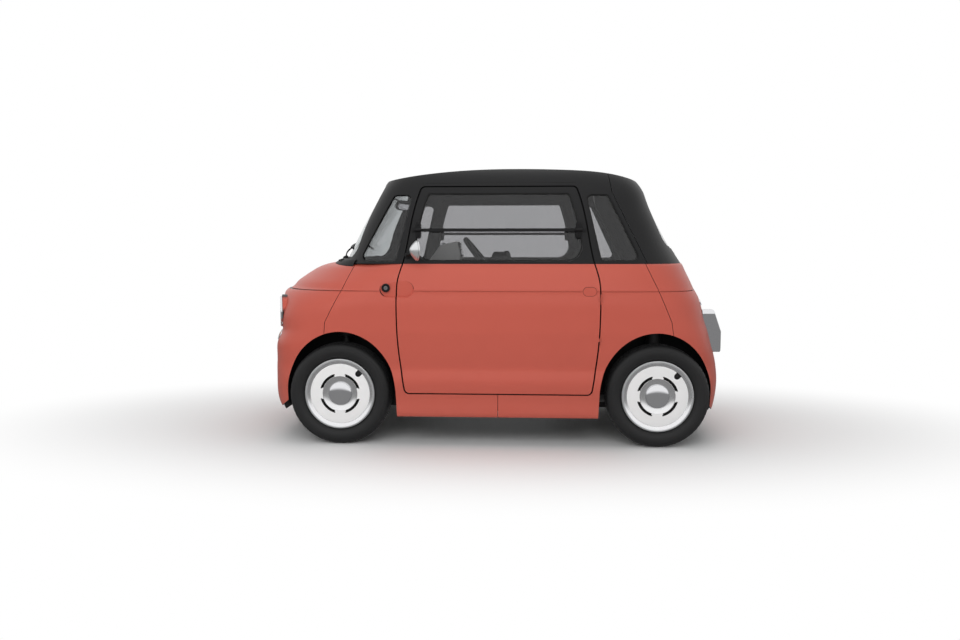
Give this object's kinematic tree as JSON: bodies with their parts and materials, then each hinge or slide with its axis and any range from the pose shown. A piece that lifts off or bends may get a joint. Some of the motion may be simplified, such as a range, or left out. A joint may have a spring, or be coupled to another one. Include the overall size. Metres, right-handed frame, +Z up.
{
  "type": "two-seat electric microcar",
  "caption": "Short upright two-seat electric microcar: rounded plastic body, black cabin frame, hinged side doors, steered front wheels.",
  "frame": {"origin": "on the ground under the middle of the car", "axes": "+X forward, +Y to the car's left, +Z up"},
  "size_m": [2.5363, 1.54, 1.53],
  "materials": {
    "body_panel": "satin coral red",
    "black_frame": "satin black",
    "screen_glass": "smoked clear",
    "bright_trim": "polished",
    "clear_lens": "clear",
    "red_lens": "gloss dark red",
    "underbody_plastic": "matt black",
    "chassis_steel": "satin black paint",
    "drive_casing": "cast",
    "cabin_plastic": "grained",
    "seat_cloth": "woven",
    "tyre_rubber": "matt",
    "wheel_white": "satin white"
  },
  "bodies": {
    "car_body": {"nose_panel": "body_panel", "tail_panel": "body_panel", "side_panel_left": "body_panel", "side_panel_right": "body_panel", "greenhouse_frame": "black_frame", "rear_hood": "black_frame", "roof_panel": "black_frame", "windscreen": "screen_glass", "rear_window": "screen_glass", "quarter_glass_left": "screen_glass", "quarter_glass_right": "screen_glass", "headlamp_bowls": "bright_trim", "headlamp_lenses": "clear_lens", "tail_lamps": "bright_trim", "tail_lamp_lenses": "red_lens", "floor_tub": "underbody_plastic", "arch_liners_front": "underbody_plastic", "arch_liners_rear": "underbody_plastic", "front_subframe": "chassis_steel", "crash_beam": "chassis_steel", "rear_beam": "chassis_steel", "motor_block": "drive_casing", "battery_box": "drive_casing", "dashboard": "cabin_plastic", "seat_left": "seat_cloth", "seat_right": "seat_cloth"},
    "door_left": {"door_left_shell": "body_panel", "door_left_frame": "black_frame", "door_left_glass": "screen_glass", "door_left_mirror": "bright_trim"},
    "door_right": {"door_right_shell": "body_panel", "door_right_frame": "black_frame", "door_right_glass": "screen_glass", "door_right_mirror": "bright_trim"},
    "steer_knuckle_left": {"knuckle_left": "chassis_steel"},
    "steer_knuckle_right": {"knuckle_right": "chassis_steel"},
    "steering": {"steering_wheel": "cabin_plastic"},
    "road_wheel_front_left": {"tyre_front_left": "tyre_rubber", "wheel_front_left": "wheel_white"},
    "road_wheel_front_right": {"tyre_front_right": "tyre_rubber", "wheel_front_right": "wheel_white"},
    "road_wheel_rear_left": {"tyre_rear_left": "tyre_rubber", "wheel_rear_left": "wheel_white"},
    "road_wheel_rear_right": {"tyre_rear_right": "tyre_rubber", "wheel_rear_right": "wheel_white"}
  },
  "joints": [
    {"name": "door_left_hinge", "type": "hinge", "parent": "car_body", "child": "door_left", "pos_m": [-0.577, 0.699, 0.6], "axis": [0, 0, 1], "range_deg": [0, 75]},
    {"name": "door_right_hinge", "type": "hinge", "parent": "car_body", "child": "door_right", "pos_m": [0.517, -0.699, 0.6], "axis": [0, 0, 1], "range_deg": [0, 75]},
    {"name": "steer_left", "type": "hinge", "parent": "car_body", "child": "steer_knuckle_left", "pos_m": [0.8375, 0.545, 0.18], "axis": [0, -0.2017, 0.9795], "range_deg": [-30, 30]},
    {"name": "steer_right", "type": "hinge", "parent": "car_body", "child": "steer_knuckle_right", "pos_m": [0.8375, -0.545, 0.18], "axis": [0, 0.2017, 0.9795], "range_deg": [-30, 30]},
    {"name": "steering_turn", "type": "hinge", "parent": "car_body", "child": "steering", "pos_m": [0.062, 0.295, 0.988], "axis": [-0.788, 0, 0.6157], "range_deg": [-450, 450]},
    {"name": "spin_front_left", "type": "hinge", "parent": "steer_knuckle_left", "child": "road_wheel_front_left", "pos_m": [0.8375, 0.5975, 0.2785], "axis": [0, 1, 0], "continuous": true},
    {"name": "spin_front_right", "type": "hinge", "parent": "steer_knuckle_right", "child": "road_wheel_front_right", "pos_m": [0.8375, -0.5975, 0.2785], "axis": [0, 1, 0], "continuous": true},
    {"name": "spin_rear_left", "type": "hinge", "parent": "car_body", "child": "road_wheel_rear_left", "pos_m": [-0.8905, 0.5975, 0.2785], "axis": [0, 1, 0], "continuous": true},
    {"name": "spin_rear_right", "type": "hinge", "parent": "car_body", "child": "road_wheel_rear_right", "pos_m": [-0.8905, -0.5975, 0.2785], "axis": [0, 1, 0], "continuous": true}
  ],
  "couplings": [
    {"joint": "steer_right", "follows": "steer_left", "ratio": 1},
    {"joint": "steering_turn", "follows": "steer_left", "ratio": 15}
  ]
}
